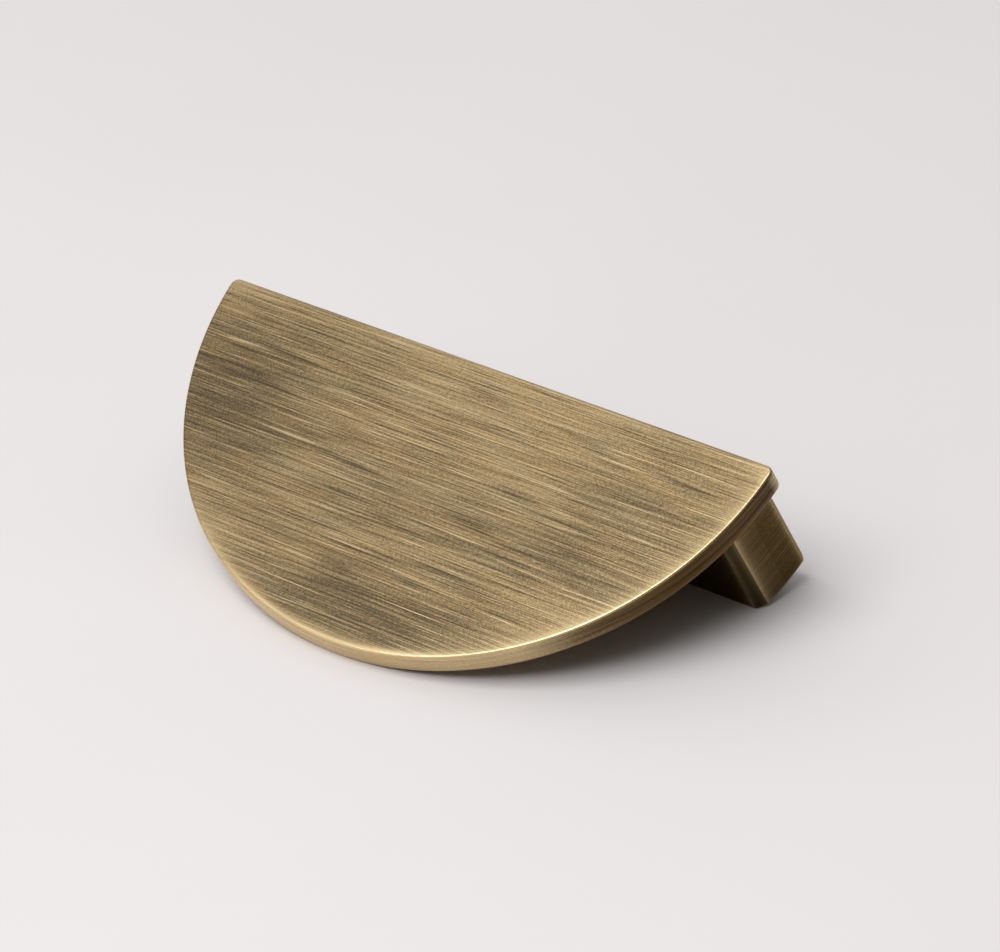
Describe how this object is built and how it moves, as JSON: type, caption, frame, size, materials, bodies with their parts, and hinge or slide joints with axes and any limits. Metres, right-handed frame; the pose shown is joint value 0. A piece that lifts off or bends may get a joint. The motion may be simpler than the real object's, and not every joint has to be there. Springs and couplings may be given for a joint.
{
  "type": "cabinet pull",
  "caption": "Half-moon cabinet pull: a flat half disc that a bar along its straight edge holds off the door, with blind tapped holes in the bar's mounting face.",
  "frame": {"origin": "centre of the bar's mounting face, in the plane of the door", "axes": "+X along the straight edge, +Y from the round edge to the straight edge, +Z out of the door"},
  "size_m": [0.112, 0.055, 0.0255],
  "materials": {
    "antique_brass": "brushed along the straight edge and darkened, with lighter worn edges"
  },
  "bodies": {
    "root": {"pull": "antique_brass"}
  },
  "joints": []
}
